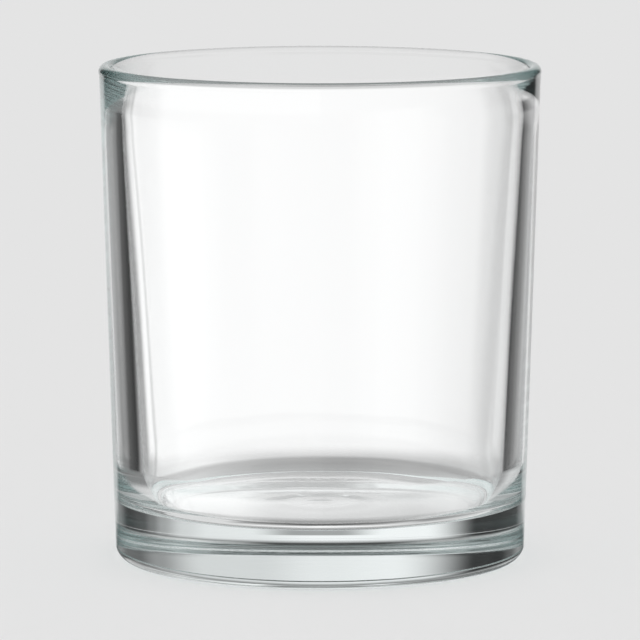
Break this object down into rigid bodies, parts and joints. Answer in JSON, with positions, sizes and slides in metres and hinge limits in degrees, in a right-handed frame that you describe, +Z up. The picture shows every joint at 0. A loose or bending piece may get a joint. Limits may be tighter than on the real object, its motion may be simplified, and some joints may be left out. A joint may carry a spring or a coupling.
{
  "type": "water glass",
  "caption": "Straight-sided clear water glass with a heavy solid base, a thick tapering wall, a rounded heel and a fire-polished lip.",
  "frame": {"origin": "middle of the ring that the glass stands on, at table level", "axes": "+Z up along the axis of the glass; the glass is round, so X and Y are any two level directions"},
  "size_m": [0.08, 0.08, 0.09],
  "materials": {
    "clear_glass": "fire-polished clear soda-lime glass, colourless with a faint grey-green cast in thick sections"
  },
  "bodies": {
    "root": {"tumbler": "clear_glass"}
  },
  "joints": []
}
